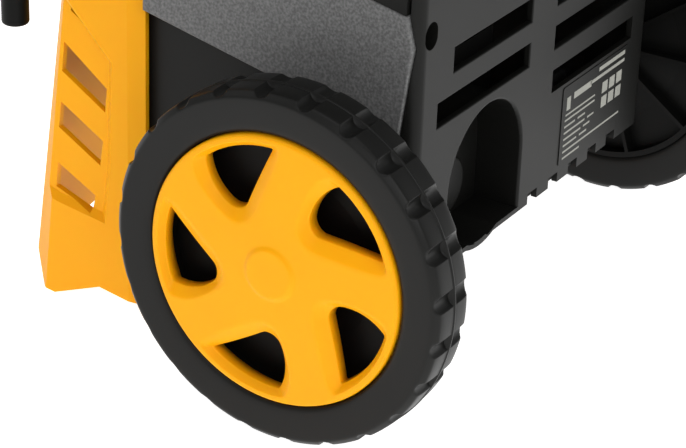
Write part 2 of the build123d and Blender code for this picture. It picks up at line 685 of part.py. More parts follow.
# ---- hood: upper shell over the motor, with skirts over the side panels ----
hood_x = side_x + 1.6
hood_back = back_y + 1.0
hood_front_low = (front_y(cover_top) - 5.5, cover_top + 0.3)
hood_front_high = (-66.0, top_z - 18.0)
hood_lean = degrees(atan2(hood_front_high[0] - hood_front_low[0], hood_front_high[1] - hood_front_low[1]))
knob_y = hood_front_low[0] + (knob_z - hood_front_low[1]) * tan(radians(hood_lean))
knob_plane = Plane(
    origin=(0, knob_y, knob_z), x_dir=(1, 0, 0),
    z_dir=(0, -cos(radians(hood_lean)), sin(radians(hood_lean))),
)
knob_stem_r = 10.0
hood_screw_spots = [(100, 252), (-100, 252), (100, 415), (-100, 415)]
screw_r, screw_head_r = 2.0, 4.2
with BuildPart() as hood:
    with BuildSketch(Plane.YZ.offset(-hood_x)):
        with BuildLine():
            Polyline(
                (casing_front + 0.3, hood_z + 0.2), (hood_back, hood_z + 0.2), (hood_back, top_z - 40),
                (hood_back - 26, top_z), (-38, top_z), hood_front_high,
                hood_front_low, (casing_front + 0.3, cover_top + 0.3), close=True,
            )
        make_face()
    extrude(amount=2 * hood_x)
    fillet(hood.edges().filter_by(Axis.X).group_by(Axis.Z)[-1], 14)
    fillet(hood.edges().filter_by(Axis.Z).group_by(Axis.Y)[-1], 7)
    with BuildSketch(Plane.YZ.offset(-hood_x + wall + 1)):
        with BuildLine():
            Polyline(
                (casing_front + 0.2, hood_z - 1), (hood_back - wall, hood_z - 1),
                (hood_back - wall, top_z - 42), (hood_back - 29, top_z - wall),
                (-36, top_z - wall), (-63, top_z - 21), (hood_front_low[0] + 4, cover_top + 4),
                (casing_front + 0.2, cover_top + 4), close=True,
            )
        make_face()
    extrude(amount=2 * (hood_x - wall - 1), mode=Mode.SUBTRACT)
    for sign in (1, -1):
        with BuildSketch(Plane.YZ.offset(sign * (side_x - panel_t))):
            with BuildLine():
                Polyline(
                    (casing_front + 1, panel_line(casing_front + 1, panel_height) + 0.3),
                    (81.0, panel_line(81.0, panel_height) + 0.3), (82.0, hood_z + 0.2),
                    (82.0, hood_z + 2), (casing_front + 1, hood_z + 2), close=True,
                )
            make_face()
        extrude(amount=sign * (hood_x - side_x + panel_t))
    # holes for the knob, the handle tubes and the screws, and slots for the motor's fan
    with BuildSketch(knob_plane.offset(1)):
        Circle(knob_stem_r + slide_gap)
    extrude(amount=-20, mode=Mode.SUBTRACT)
    with BuildSketch(Plane.XZ.offset(-(hood_back + 1))):
        with Locations(hood_screw_spots):
            Circle(screw_r)
    extrude(amount=wall + 2, mode=Mode.SUBTRACT)
    with BuildSketch(Plane.XY.offset(top_z + 1)):
        with Locations((tube_x, tube_y), (-tube_x, tube_y)):
            Circle(tube_r + 4.5)
    extrude(amount=-60, mode=Mode.SUBTRACT)
    with BuildSketch(Plane.XZ.offset(-(hood_back + 1))):
        with Locations((0, hook_z + 24)):
            with GridLocations(0, 14, 1, 3):
                Rectangle(90, 7)
    extrude(amount=wall + 2, mode=Mode.SUBTRACT)
save(hood.part, "hood")

with BuildPart() as hood_screws:
    with BuildSketch(Plane.XZ.offset(-hood_back)):
        with Locations(hood_screw_spots):
            Circle(screw_head_r)
    extrude(amount=-2.2)
    with BuildSketch(Plane.XZ.offset(-hood_back)):
        with Locations(hood_screw_spots):
            Circle(screw_r)
    extrude(amount=12)
    with BuildSketch(Plane.XZ.offset(-(hood_back + 2.2))):
        with Locations(hood_screw_spots):
            Rectangle(5, 1)
            Rectangle(1, 5)
    extrude(amount=1.2, mode=Mode.SUBTRACT)
save(hood_screws.part, "hood_screws")

# ---- telescopic handle ----
guide_low, guide_high = 300.0, top_z + 3.0
tube_low, tube_high = 160.0, grip_z + 4.0
with BuildPart() as guide:
    with BuildSketch(Plane.XY.offset(guide_low)):
        with Locations((tube_x, tube_y)):
            Circle(tube_r + 4.3)
            Circle(tube_r + slide_gap, mode=Mode.SUBTRACT)
    extrude(amount=guide_high - guide_low)
    with BuildSketch(Plane.XY.offset(top_z + 0.2)):
        with Locations((tube_x, tube_y)):
            Circle(tube_r + 8)
            Circle(tube_r + slide_gap, mode=Mode.SUBTRACT)
    extrude(amount=guide_high - top_z - 0.2)
    with BuildSketch(Plane.XY.offset(guide_low)):
        with Locations((tube_x, (tube_y + tube_r + 4 + hood_back - wall) / 2)):
            Rectangle(14, hood_back - wall - tube_y - tube_r - 4)
    extrude(amount=60)
save_pair(guide.part, "handle_guide")

with BuildPart() as tube:
    with BuildSketch(Plane.XY.offset(tube_low)):
        with Locations((tube_x, tube_y)):
            Circle(tube_r)
            Circle(tube_r - 1.5, mode=Mode.SUBTRACT)
    extrude(amount=tube_high - tube_low)
save_pair(tube.part, "handle_tube")

grip_half, grip_height, grip_depth = tube_x + 17.0, 28.0, 30.0
button_x, button_y, button_travel = 15.0, 8.0, 4.0
with BuildPart() as grip:
    with BuildSketch(Plane.YZ.offset(-grip_half)):
        with Locations((tube_y, grip_z)):
            RectangleRounded(grip_depth, grip_height, 11)
    extrude(amount=2 * grip_half)
    fillet(grip.faces().sort_by(Axis.X)[-1].edges() + grip.faces().sort_by(Axis.X)[0].edges(), 8)
    with BuildSketch(Plane.XY.offset(grip_z - grip_height)):
        with Locations((tube_x, tube_y), (-tube_x, tube_y)):
            Circle(tube_r)
    extrude(amount=grip_height + 4, mode=Mode.SUBTRACT)
    with BuildSketch(Plane.XY.offset(grip_z)):
        with Locations((0, tube_y)):
            Rectangle(2 * (button_x + slide_gap), 2 * (button_y + slide_gap))
    extrude(amount=grip_height, mode=Mode.SUBTRACT)
save(grip.part, "handle_grip")

with BuildPart() as release_button:
    with BuildSketch(Plane.XY.offset(grip_z + button_travel + 1)):
        with Locations((0, tube_y)):
            Rectangle(2 * button_x, 2 * button_y)
    extrude(amount=grip_height / 2)
    fillet(release_button.faces().sort_by(Axis.Z)[-1].edges(), 2)
save(release_button.part, "release_button")

# ---- control knob on the hood's leaning front ----
with BuildPart() as switch_housing:
    with BuildSketch(knob_plane):
        Circle(34)
        Circle(knob_stem_r + slide_gap, mode=Mode.SUBTRACT)
    extrude(amount=4)
    fillet(switch_housing.edges().filter_by(GeomType.CIRCLE).sort_by(SortBy.RADIUS)[-1], 2)
save(switch_housing.part, "switch_bezel")
with BuildPart() as knob:
    with BuildSketch(knob_plane.offset(4.4)):
        Circle(24)
    extrude(amount=6)
    with BuildSketch(knob_plane.offset(4.4)):
        Rectangle(14, 46)
    extrude(amount=18)
    with BuildSketch(knob_plane.offset(-8)):
        Circle(knob_stem_r)
    extrude(amount=12.5)
    fillet(knob.faces().sort_by(Axis.Y)[0].edges(), 2.5)
save(knob.part, "switch_knob")

# ---- cable gland and cable hooks on the back ----
gland_x, gland_z = -70.0, 262.0
with BuildPart() as gland:
    with BuildSketch(Plane.XZ.offset(-hood_back)):
        with Locations((gland_x, gland_z)):
            Circle(11)
            Circle(4.2, mode=Mode.SUBTRACT)
    extrude(amount=-16)
    with BuildSketch(Plane.XZ.offset(-hood_back)):
        with Locations((gland_x, gland_z)):
            RegularPolygon(14, 6)
            Circle(4.2, mode=Mode.SUBTRACT)
    extrude(amount=-6)
save(gland.part, "cable_gland")

hook_stem_r, hook_reach, hook_length = 9.0, 34.0, 42.0
lower_hook_z = hook_z - 90.0
for label, z, sign in (("hook_upper", hook_z, 1), ("hook_lower", lower_hook_z, -1)):
    with BuildPart() as hook:
        with BuildSketch(Plane.XZ.offset(-(hood_back + 0.3))):
            with Locations((0, z)):
                Circle(hook_stem_r)
        extrude(amount=-hook_reach)
        with BuildSketch(Plane.XZ.offset(-(hood_back + hook_reach - 4))):
            with Locations((0, z + sign * hook_length / 2 - sign * 6)):
                RectangleRounded(24, hook_length, 6)
        extrude(amount=-6)
    save(hook.part, label)

# ---- spray gun stored upright on the side, its lance pointing down ----
lance_r, collar_r, collar_length = 5.0, 6.5, 38.0
grip_back_y = 2.0
shell_t = 16.0
gun_base = 351.6                  # lower end of the gun's body
gun_outline = [
    (gun_y - 15, gun_base), (gun_y + 15, gun_base), (gun_y + 15, gun_base + 66),
    (gun_y + 34, gun_base + 84), (grip_back_y, gun_base + 88),
    (grip_back_y + 6, gun_base + 114), (gun_y + 14, gun_base + 122),
    (gun_y - 9, gun_base + 112), (gun_y - 15, gun_base + 94),
]
guard_front, guard_back = gun_y + 15, -24.0
guard_outline = [
    (guard_front, gun_base + 2), (guard_front + 11, gun_base + 2), (guard_back, gun_base + 40),
    (guard_back, gun_base + 88), (guard_back - 7, gun_base + 88), (guard_back - 7, gun_base + 44),
    (guard_front + 7, gun_base + 9), (guard_front, gun_base + 9),
]
for label, x0 in (("gun_shell_inner", gun_x - shell_t), ("gun_shell_outer", gun_x)):
    with BuildPart() as shell:
        with BuildSketch(Plane.YZ.offset(x0)):
            with BuildLine():
                Polyline(gun_outline, close=True)
            make_face()
            fillet(vertices(), 4)
        extrude(amount=shell_t)
        with BuildSketch(Plane.YZ.offset(gun_x - 5 if x0 < gun_x else gun_x)):
            with BuildLine():
                Polyline(guard_outline, close=True)
            make_face()
        extrude(amount=5)
        outer_face = shell.faces().sort_by(Axis.X)[0 if x0 < gun_x else -1]
        chamfer(outer_face.edges(), 3)
        # room for the lance, the trigger and the lock
        with BuildSketch(Plane(origin=(gun_x, gun_y, gun_base - 6), z_dir=(0, 0, 1))):
            Circle(lance_r + 1)
        extrude(amount=60, mode=Mode.SUBTRACT)
        with BuildSketch(Plane.YZ.offset(gun_x - 8)):
            with Locations((gun_y + 34, gun_base + 77)):
                Rectangle(50, 44)
        extrude(amount=16, mode=Mode.SUBTRACT)
    save(shell.part, label)

trigger_pivot_y, trigger_pivot_z = gun_y + 22.0, gun_base + 66.0
trigger_pin_r = 2.5
with BuildPart() as trigger:
    with BuildSketch(Plane.YZ.offset(gun_x - 5)):
        with BuildLine():
            Polyline(
                (trigger_pivot_y - 4, trigger_pivot_z + 4), (trigger_pivot_y - 4, trigger_pivot_z - 5),
                (trigger_pivot_y + 6, trigger_pivot_z - 12), (trigger_pivot_y + 38, trigger_pivot_z - 5),
                (trigger_pivot_y + 36, trigger_pivot_z + 2), (trigger_pivot_y + 6, trigger_pivot_z + 4),
                close=True,
            )
        make_face()
        fillet(vertices(), 1.8)
    extrude(amount=10)
    with BuildSketch(Plane.YZ.offset(gun_x - 6)):
        with Locations((trigger_pivot_y, trigger_pivot_z)):
            Circle(trigger_pin_r + running_gap)
    extrude(amount=12, mode=Mode.SUBTRACT)
save(trigger.part, "trigger")

with BuildPart() as trigger_pin:
    with BuildSketch(Plane.YZ.offset(gun_x - 8)):
        with Locations((trigger_pivot_y, trigger_pivot_z)):
            Circle(trigger_pin_r)
    extrude(amount=16)
save(trigger_pin.part, "trigger_pin")

with BuildPart() as lance:
    with BuildSketch(Plane(origin=(gun_x, gun_y, lance_tip_z + 16), z_dir=(0, 0, 1))):
        Circle(lance_r)
        Circle(1.6, mode=Mode.SUBTRACT)
    extrude(amount=gun_base + 54 - lance_tip_z - 16)
save(lance.part, "lance")

with BuildPart() as lance_nut:
    with BuildSketch(Plane(origin=(gun_x, gun_y, gun_base - 23.8), z_dir=(0, 0, 1))):
        Circle(12.5)
        Circle(lance_r, mode=Mode.SUBTRACT)
        with PolarLocations(13.4, 12):
            Circle(1.6, mode=Mode.SUBTRACT)
    extrude(amount=23.6)
save(lance_nut.part, "lance_nut")

with BuildPart() as nozzle_collar:
    with BuildSketch(Plane(origin=(gun_x, gun_y, lance_tip_z), z_dir=(0, 0, 1))):
        Circle(collar_r)
    extrude(amount=collar_length)
    fillet(nozzle_collar.faces().sort_by(Axis.Z)[0].edges(), 1.6)
    chamfer(nozzle_collar.faces().sort_by(Axis.Z)[-1].edges(), 1.0)
    with BuildSketch(Plane(origin=(gun_x, gun_y, lance_tip_z + 15.5), z_dir=(0, 0, 1))):
        Circle(lance_r + running_gap)
    extrude(amount=collar_length, mode=Mode.SUBTRACT)
    with BuildSketch(Plane(origin=(gun_x, gun_y, lance_tip_z - 1), z_dir=(0, 0, 1))):
        Circle(1.4)
    extrude(amount=20, mode=Mode.SUBTRACT)
save(nozzle_collar.part, "nozzle_collar")

# ---- brackets that hold the gun and lance beside the cover ----
ring_bore_r = collar_r + 1.5
for label, z, height, ring_r in (
    ("gun_cradle", gun_base - 45.6, 21.5, 15.0), ("lance_guide", 214.0, 14.0, 12.0),
):
    foot_front = side_edge_y(z) + 3
    with BuildPart() as bracket:
        with BuildSketch(Plane.XY.offset(z)):
            with BuildLine():
                Polyline(
                    (side_x, foot_front), (side_x, casing_front - 1), (side_x + 4, casing_front - 1),
                    (gun_x + ring_r - 1.5, gun_y + 3), (gun_x - ring_r + 2.5, gun_y), close=True,
                )
            make_face()
            with Locations((gun_x, gun_y)):
                Circle(ring_r)
                Circle(ring_bore_r, mode=Mode.SUBTRACT)
        extrude(amount=height)
    save(bracket.part, label)
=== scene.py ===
import json
import math

import bpy
import numpy as np
from mathutils import Matrix, Vector


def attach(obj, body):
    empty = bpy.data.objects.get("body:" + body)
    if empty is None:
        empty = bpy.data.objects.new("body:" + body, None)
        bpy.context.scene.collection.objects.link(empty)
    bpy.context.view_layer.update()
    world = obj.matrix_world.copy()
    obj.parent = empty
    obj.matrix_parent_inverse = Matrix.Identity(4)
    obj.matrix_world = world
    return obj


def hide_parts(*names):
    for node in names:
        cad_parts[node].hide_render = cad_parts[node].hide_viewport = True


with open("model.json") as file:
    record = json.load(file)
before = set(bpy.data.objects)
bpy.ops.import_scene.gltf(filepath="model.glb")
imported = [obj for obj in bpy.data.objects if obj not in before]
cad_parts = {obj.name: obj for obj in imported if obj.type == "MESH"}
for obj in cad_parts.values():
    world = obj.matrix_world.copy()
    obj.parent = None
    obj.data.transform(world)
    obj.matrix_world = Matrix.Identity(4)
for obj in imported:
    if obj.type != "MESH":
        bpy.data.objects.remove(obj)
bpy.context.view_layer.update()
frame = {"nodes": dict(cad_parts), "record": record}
nodes = frame["nodes"]
mm = 0.001


cameraSet = {
    "place": (0.99605, 0.57565, 0.59600),   # metres, behind the machine on its left
    "yaw": 120.856,                         # degrees from looking along +Y
    "pitch": -26.509,
    "roll": 2.116,
    "lens": 131.8,
    "sensor": 36.0,
}


def addCamera(s):
    data = bpy.data.cameras.new("camera")
    data.lens, data.sensor_width = s["lens"], s["sensor"]
    data.clip_start, data.clip_end = 0.05, 20.0
    camera = bpy.data.objects.new("camera", data)
    turn = Matrix.Rotation(math.radians(s["yaw"]), 4, "Z")
    tip = Matrix.Rotation(math.radians(90 + s["pitch"]), 4, "X")
    roll = Matrix.Rotation(math.radians(s["roll"]), 4, "Z")
    camera.matrix_world = Matrix.Translation(s["place"]) @ turn @ tip @ roll
    bpy.context.scene.collection.objects.link(camera)
    bpy.context.scene.camera = camera


# softboxes: where each stands, what it looks at, its size in metres and its power in watts
lightSet = {
    "key": {"place": (0.9, -1.5, 1.7), "at": (0.1, 0.0, 0.15), "size": 1.6, "watts": 6},
    "side": {"place": (1.9, 0.6, 1.3), "at": (0.0, 0.0, 0.15), "size": 1.5, "watts": 9},
    "rear": {"place": (1.1, 1.7, 1.2), "at": (0.1, 0.05, 0.15), "size": 1.2, "watts": 14},
    "top": {"place": (0.1, 0.1, 2.3), "at": (0.0, 0.0, 0.1), "size": 1.6, "watts": 12},
    "back": {"place": (-1.3, 1.7, 0.9), "at": (0.0, 0.1, 0.12), "size": 1.2, "watts": 3},
}


def addLight(name, s):
    data = bpy.data.lights.new(name, "AREA")
    data.shape, data.size, data.energy = "SQUARE", s["size"], s["watts"]
    light = bpy.data.objects.new(name, data)
    aim = Vector(s["at"]) - Vector(s["place"])
    turn = aim.to_track_quat("-Z", "Y").to_matrix().to_4x4()
    light.matrix_world = Matrix.Translation(s["place"]) @ turn
    bpy.context.scene.collection.objects.link(light)


# sRGB hex to linear RGBA
def linear(hexColour):
    parts = [int(hexColour[i:i + 2], 16) / 255 for i in (1, 3, 5)]
    return [*(c / 12.92 if c <= 0.04045 else ((c + 0.055) / 1.055) ** 2.4 for c in parts), 1.0]


def newMaterial(name):
    material = bpy.data.materials.new(name)
    material.use_nodes = True
    tree = material.node_tree
    shader = tree.nodes["Principled BSDF"]
    return material, tree, shader


mixColours, mixResult = (6, 7), 2    # the colour sockets of a Mix node
roughSpread = {"plastic": 0.05, "metal": 0.08}


# one node: settings are attributes or input values, links are input name -> output socket
def addNode(tree, kind, settings=None, links=None):
    node = tree.nodes.new(kind)
    for key, value in (settings or {}).items():
        if isinstance(key, str) and hasattr(node, key):
            setattr(node, key, value)
        else:
            node.inputs[key].default_value = value
    for key, socket in (links or {}).items():
        tree.links.new(socket, node.inputs[key])
    return node


# injection-moulded plastic: a grain eroded into the tool, a faint colour drift,
# and a roughness that varies with handling
def mouldedPlastic(name, look):
    material, tree, shader = newMaterial(name)
    place = addNode(tree, "ShaderNodeTexCoord").outputs["Object"]
    grain = addNode(tree, "ShaderNodeTexNoise",
                    {"Scale": 1 / (look["grainMm"] * mm), "Detail": 2.0}, {"Vector": place})
    drift = addNode(tree, "ShaderNodeTexNoise",
                    {"Scale": 1 / (look["driftMm"] * mm), "Detail": 3.0}, {"Vector": place})
    mix = addNode(tree, "ShaderNodeMix", {"data_type": "RGBA"}, {"Factor": drift.outputs["Fac"]})
    for socket, shade in zip(mixColours, ("dark", "light")):
        mix.inputs[socket].default_value = linear(look[shade])
    colour = mix.outputs[mixResult]
    if "grainShadeAndGlint" in look:   # painted shade and glint: the grain's pits are darkened and its peaks lightened, as light falling on them would
        grainShadeAndGlint = addNode(tree, "ShaderNodeMapRange",
                        {"From Min": 0.35, "From Max": 0.7,
                         "To Min": 1 - look["grainShadeAndGlint"], "To Max": 1 + look["grainShadeAndGlint"]},
                        {"Value": grain.outputs["Fac"]})
        scaled = addNode(tree, "ShaderNodeVectorMath", {"operation": "SCALE"},
                         {0: colour, "Scale": grainShadeAndGlint.outputs[0]})
        colour = scaled.outputs[0]
    tree.links.new(colour, shader.inputs["Base Color"])
    rough = addNode(tree, "ShaderNodeMapRange",
                    {"To Min": look["rough"] - roughSpread["plastic"],
                     "To Max": look["rough"] + roughSpread["plastic"]},
                    {"Value": drift.outputs["Fac"]})
    tree.links.new(rough.outputs[0], shader.inputs["Roughness"])
    bump = addNode(tree, "ShaderNodeBump", {"Strength": look["bump"], "Distance": look["depthMm"] * mm},
                   {"Height": grain.outputs["Fac"]})
    tree.links.new(bump.outputs[0], shader.inputs["Normal"])
    shader.inputs["Specular IOR Level"].default_value = look["gloss"]
    if "glow" in look:   # light spreads inside the wall, red the furthest
        shader.inputs["Subsurface Weight"].default_value = look["glow"]
        shader.inputs["Subsurface Radius"].default_value = (1.0, 0.3, 0.03)
        shader.inputs["Subsurface Scale"].default_value = look["glowMm"] * mm
    return material


# metal with fine tool marks: a stretched noise on the bump and the roughness
def turnedMetal(name, look):
    material, tree, shader = newMaterial(name)
    place = addNode(tree, "ShaderNodeTexCoord").outputs["Object"]
    stretch = addNode(tree, "ShaderNodeMapping", {"Scale": look["stretch"]}, {"Vector": place})
    marks = addNode(tree, "ShaderNodeTexNoise", {"Scale": 1 / (look["markMm"] * mm), "Detail": 3.0},
                    {"Vector": stretch.outputs[0]})
    mix = addNode(tree, "ShaderNodeMix", {"data_type": "RGBA"}, {"Factor": marks.outputs["Fac"]})
    for socket, shade in zip(mixColours, ("dark", "light")):
        mix.inputs[socket].default_value = linear(look[shade])
    tree.links.new(mix.outputs[mixResult], shader.inputs["Base Color"])
    rough = addNode(tree, "ShaderNodeMapRange",
                    {"To Min": look["rough"] - roughSpread["metal"],
                     "To Max": look["rough"] + roughSpread["metal"]},
                    {"Value": marks.outputs["Fac"]})
    tree.links.new(rough.outputs[0], shader.inputs["Roughness"])
    bump = addNode(tree, "ShaderNodeBump", {"Strength": 0.25, "Distance": 0.05 * mm},
                   {"Height": marks.outputs["Fac"]})
    tree.links.new(bump.outputs[0], shader.inputs["Normal"])
    shader.inputs["Metallic"].default_value = 1.0
    return material


# rough is roughness, gloss the specular level, bump a strength, the grain's painted shade and glint a
# contrast and glow the subsurface weight; a name that ends in Mm is a size in millimetres
plasticLooks = {
    # warm orange yellow with a soft satin sheen, a little translucent at thin edges
    "yellow ABS, satin moulded": {
        "dark": "#f6a505", "light": "#faad0a", "rough": 0.4, "gloss": 0.12,
        "grainMm": 0.7, "driftMm": 60, "bump": 0.05, "depthMm": 0.05, "glow": 0.25, "glowMm": 4.0},
    # near black, and even; its fine texture greys the highlights
    "black ABS, fine spark texture": {
        "dark": "#10100f", "light": "#161614", "rough": 0.42, "gloss": 0.14,
        "grainMm": 0.8, "driftMm": 70, "bump": 0.15, "depthMm": 0.1},
    # mid grey that sparkles faintly, from its bump and from painted glints on the grain's peaks, with
    # painted shade in its pits; the grain is drawn coarser than the real 0.2 mm, so that it shows
    "grey ABS, coarse spark texture": {
        "dark": "#626262", "light": "#6e6e6e", "rough": 0.5, "gloss": 0.25,
        "grainMm": 1.3, "driftMm": 50, "bump": 0.5, "depthMm": 0.2, "grainShadeAndGlint": 0.3},
    # deeper black than the casing, with a waxy, low shine
    "black polypropylene, moulded": {
        "dark": "#0a0a09", "light": "#0f0f0e", "rough": 0.45, "gloss": 0.1,
        "grainMm": 1.2, "driftMm": 40, "bump": 0.1, "depthMm": 0.08},
    # dark grey tread plastic: its sides catch a broad, dull light
    "black tyre plastic, satin": {
        "dark": "#171716", "light": "#1d1d1c", "rough": 0.38, "gloss": 0.14,
        "grainMm": 1.0, "driftMm": 30, "bump": 0.1, "depthMm": 0.08},
    # dry and matt, with no clear highlight
    "soft black rubber, matt": {
        "dark": "#121212", "light": "#1a1a1a", "rough": 0.75, "gloss": 0.2,
        "grainMm": 0.6, "driftMm": 25, "bump": 0.3, "depthMm": 0.1},
    # cream white
    "natural nylon, moulded": {
        "dark": "#d9d3bf", "light": "#e6e1cf", "rough": 0.5, "gloss": 0.5,
        "grainMm": 1.0, "driftMm": 20, "bump": 0.05, "depthMm": 0.05},
    # flat pale grey marks on the black plate
    "pale grey plate ink": {
        "dark": "#8f8f88", "light": "#a5a59d", "rough": 0.6, "gloss": 0.3,
        "grainMm": 0.5, "driftMm": 12, "bump": 0.05, "depthMm": 0.02},
    # dull brownish black over steel sheets and castings, partly painted shade: the parts seen through the
    # casing's slots are made as dark as the shade inside it
    "black varnish and painted shade": {
        "dark": "#0c0b0a", "light": "#12110f", "rough": 0.55, "gloss": 0.12,
        "grainMm": 0.9, "driftMm": 20, "bump": 0.3, "depthMm": 0.15},
}
# markMm is the width of a tool mark, and stretch squeezes the marks along an axis
metalLooks = {
    # bright, with fine rings from the lathe
    "steel, turned": {
        "dark": "#a9abad", "light": "#c9cbcd", "rough": 0.3, "markMm": 0.6, "stretch": (1, 1, 8)},
    # pale and soft, with a cast skin
    "aluminium, die cast": {
        "dark": "#a2a4a6", "light": "#b9bbbd", "rough": 0.5, "markMm": 1.2, "stretch": (1, 1, 1)},
    # warm gold with sharp highlights on the thread
    "brass, turned": {
        "dark": "#b9924a", "light": "#d8b267", "rough": 0.28, "markMm": 0.5, "stretch": (1, 8, 1)},
}
slotFinish = {
    "tyre_rubber": "black tyre plastic, satin",
    "wheel_black": "black polypropylene, moulded",
    "casing_black": "black ABS, fine spark texture",
    "panel_grey": "grey ABS, coarse spark texture",
    "cover_yellow": "yellow ABS, satin moulded",
    "soft_rubber": "soft black rubber, matt",
    "steel": "steel, turned",
    "pump_aluminium": "aluminium, die cast",
    "brass": "brass, turned",
    "gun_black": "black polypropylene, moulded",
    "nylon": "natural nylon, moulded",
}

# nodes whose finish differs from their slot's; the inner parts are made black partly as painted shade, so
# that the casing's slots show dark inside
coated = {
    "motor_stator": "black varnish and painted shade",
    "pump_body": "black varnish and painted shade",
    "pump_head": "black varnish and painted shade",
    "capacitor": "black polypropylene, moulded",
    "pump_bolts": "black varnish and painted shade",
    "casing_screws": "black varnish and painted shade",
    "hood_screws": "black varnish and painted shade",
    "wobble_plate": "black varnish and painted shade",
}


def finishCadNodes(finishes):
    for part in frame["record"]["subparts"]:
        finish = coated.get(part["node"], slotFinish[part["material_slot"]])
        mesh = nodes[part["node"]].data
        mesh.materials.clear()
        mesh.materials.append(finishes[finish])


wheel = {
    "y": 50.0, "z": 85.0,        # axle, millimetres
    "face": 176.2,               # plane of the tyre's outer wall
    "tyreWidth": 27.8,
}


# points from a wheel's own axes (out along the axle, towards the back, up) to the machine's;
# the right wheel is the left one turned half round an upright axis
def wheelPoints(axial, across, up, side):
    return np.stack([side * axial, wheel["y"] + side * across, wheel["z"] + up], axis=-1) * mm


mergeDistance = 1e-7    # metres; points nearer than this become one


# one piece from points and quads: doubles are merged, so that seams and poles close,
# and quads with a side of no length become triangles
def meshPiece(name, points, faces, finish, body, stands=(), smooth=True):
    points = np.asarray(points, float).reshape(-1, 3)
    _, first, back = np.unique(np.round(points / mergeDistance).astype(np.int64), axis=0,
                               return_index=True, return_inverse=True)
    points, faces = points[first], back.reshape(-1)[np.asarray(faces)]
    clean = []
    for face in faces.tolist():
        ring = [corner for place, corner in enumerate(face) if corner != face[place - 1]]
        if len(set(ring)) > 2:
            clean.append(ring)
    mesh = bpy.data.meshes.new(name)
    mesh.from_pydata(points.tolist(), [], clean)
    mesh.polygons.foreach_set("use_smooth", np.full(len(mesh.polygons), smooth))
    mesh.update()
    mesh.materials.append(finishes[finish])
    piece = bpy.data.objects.new(name, mesh)
    bpy.context.scene.collection.objects.link(piece)
    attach(piece, body)
    if stands:
        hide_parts(*stands)
    return piece


# quads between neighbouring rows and columns of a grid of points, whose columns close in a ring
def gridFaces(rows, columns, wrapRows=False, start=0):
    r = np.arange(rows if wrapRows else rows - 1)[:, None]
    c = np.arange(columns)[None, :]
    nextRow, nextColumn = (r + 1) % rows, (c + 1) % columns
    quads = np.stack([r * columns + c, r * columns + nextColumn,
                      nextRow * columns + nextColumn, nextRow * columns + c], axis=-1)
    return quads.reshape(-1, 4) + start


tyre = {
    "lugs": 24, "phase": 5.8,                # notches start this many degrees from straight back
    "notchRadius": 4.4, "notchCentre": 86.2,
    "seam": 0.8,                             # half width of the rib that parts the two rows of lugs
    "edge": 0.22,                            # rounding of the lugs' edges
    "notchSteps": 17, "lugSteps": 15,        # angles over a notch and over the lug after it
    "treadFrom": 70,                         # only what lies further out is notched
    # half section: distance from the middle plane and radius, from the seam out to the bead
    "section": [
        (0, 85.0), (0.35, 84.98), (0.62, 84.7), (0.8, 84.55), (1.2, 84.6), (3, 84.62), (6, 84.6),
        (8.5, 84.5), (10.4, 84.3), (11.2, 84.1), (11.7, 83.8), (12.4, 83.1), (13.2, 82.2),
        (13.6, 81.7), (13.85, 81.0), (13.9, 80.2), (13.88, 79), (13.8, 77), (13.68, 75),
        (13.5, 72.5), (13.3, 70), (13.05, 68), (12.8, 67), (12.4, 66.2), (11.8, 65.5),
        (11.0, 65.15), (9, 65.1), (5, 65.1), (0, 65.1)],
}


# the section is carried round the axle; inside a notch the radius is the lower of the section's
# and the notch's round floor, joined by a soft minimum that rounds the edges
def addTyre(name, side, body):
    t = tyre
    half = np.array(t["section"], float)
    out = half[1:-1]
    section = np.concatenate([half, (out * [-1, 1])[::-1]])
    pitch = 360 / t["lugs"]
    wall = math.degrees(t["notchRadius"] / t["notchCentre"])
    inNotch = -wall * np.cos(np.pi * np.linspace(0, 1, t["notchSteps"]))
    ease = 0.5 - 0.5 * np.cos(np.pi * np.linspace(0, 1, t["lugSteps"]))
    onLug = wall + (pitch - 2 * wall) * ease[1:-1]
    local = np.concatenate([inNotch, onLug])
    angle = (t["phase"] + local[None, :] + pitch * np.arange(t["lugs"])[:, None]).reshape(-1)
    offset = np.tile(np.where(local > pitch / 2, local - pitch, local), t["lugs"])
    sideways = t["notchCentre"] * np.sin(np.radians(offset))
    floorR = t["notchCentre"] * np.cos(np.radians(offset)) - np.sqrt(
        np.clip(t["notchRadius"] ** 2 - sideways ** 2, 0, None))
    beyondTread = 99.0
    floorR = np.where(np.abs(sideways) < t["notchRadius"] * 0.999, floorR, beyondTread)
    u, r = section[:, 0][None, :], section[:, 1][None, :]
    edge = t["edge"]
    softLow = -edge * np.logaddexp(-r / edge, -floorR[:, None] / edge)
    notched = (np.abs(u) > t["seam"] - 0.01) & (r > t["treadFrom"])
    radius = np.where(notched, softLow, r)
    turn = np.radians(angle)[:, None]
    middle = wheel["face"] - wheel["tyreWidth"] / 2
    points = wheelPoints(middle + u + 0 * radius, radius * np.cos(turn), radius * np.sin(turn), side)
    faces = gridFaces(len(angle), section.shape[0], wrapRows=True)
    return meshPiece(name, points, faces, "black tyre plastic, satin", body,
                     (name.replace("tyreSurface", "tyre"),))


